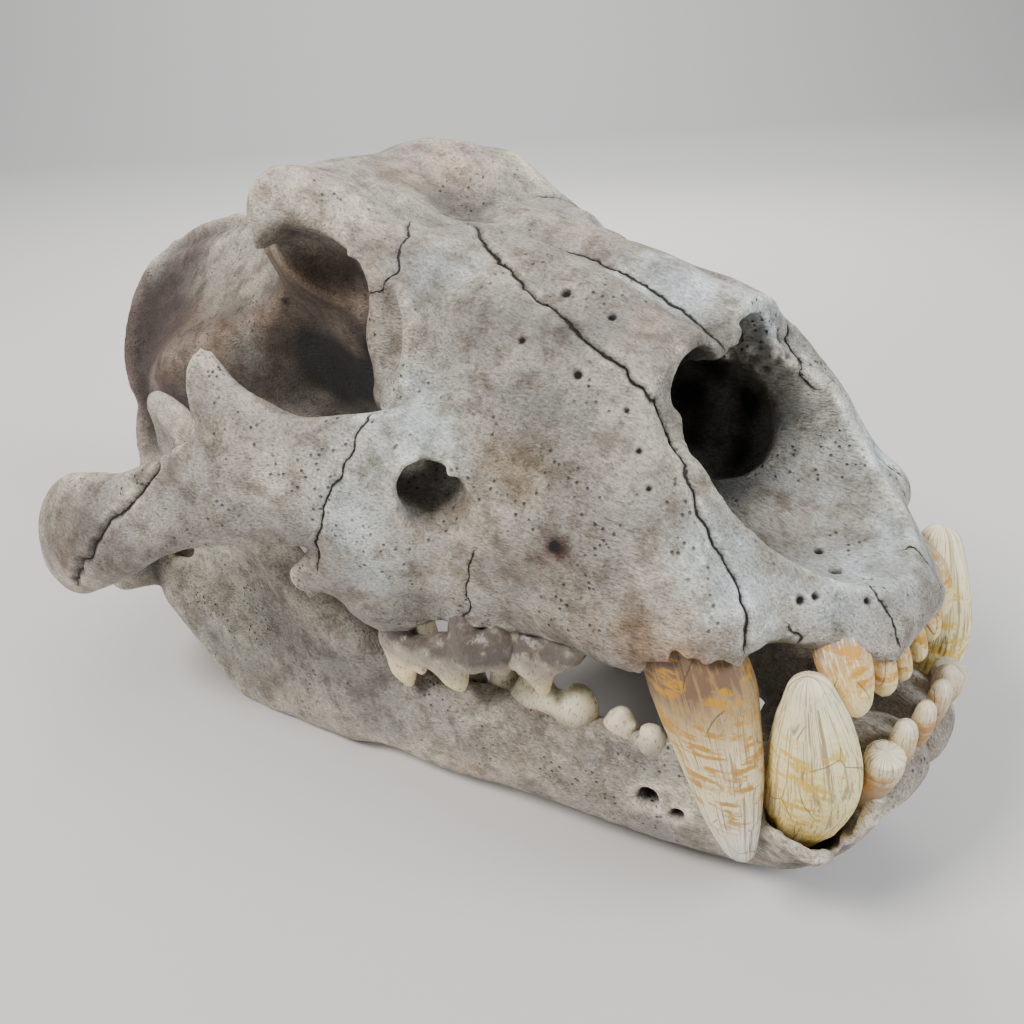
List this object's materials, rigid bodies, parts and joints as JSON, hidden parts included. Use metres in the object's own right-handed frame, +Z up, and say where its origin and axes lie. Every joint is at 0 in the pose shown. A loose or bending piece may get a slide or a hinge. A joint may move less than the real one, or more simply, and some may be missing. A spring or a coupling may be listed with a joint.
{
  "type": "cave lion skull",
  "caption": "Life-size skull of a cave lion with its lower jaw and teeth, lying closed on the jaw, as a museum shows it.",
  "frame": {"origin": "middle of the bounding box in X and Y, on the floor that the lower jaw lies on", "axes": "+X to the front of the muzzle, +Y to the skull's left, +Z up"},
  "size_m": [0.3772, 0.2564, 0.1975],
  "materials": {
    "cranium_bone": "dry, finely fibrous fossil bone",
    "jaw_bone": "dry, mottled fossil bone",
    "upper_canine_enamel": "satin, stained amber and brown",
    "lower_canine_enamel": "satin, cream with grey-brown lines"
  },
  "bodies": {
    "root": {"cranium": "cranium_bone", "mandible_left": "jaw_bone", "mandible_right": "jaw_bone", "upper_canine_left": "upper_canine_enamel", "upper_canine_right": "upper_canine_enamel", "lower_canine_left": "lower_canine_enamel", "lower_canine_right": "lower_canine_enamel"}
  },
  "joints": []
}
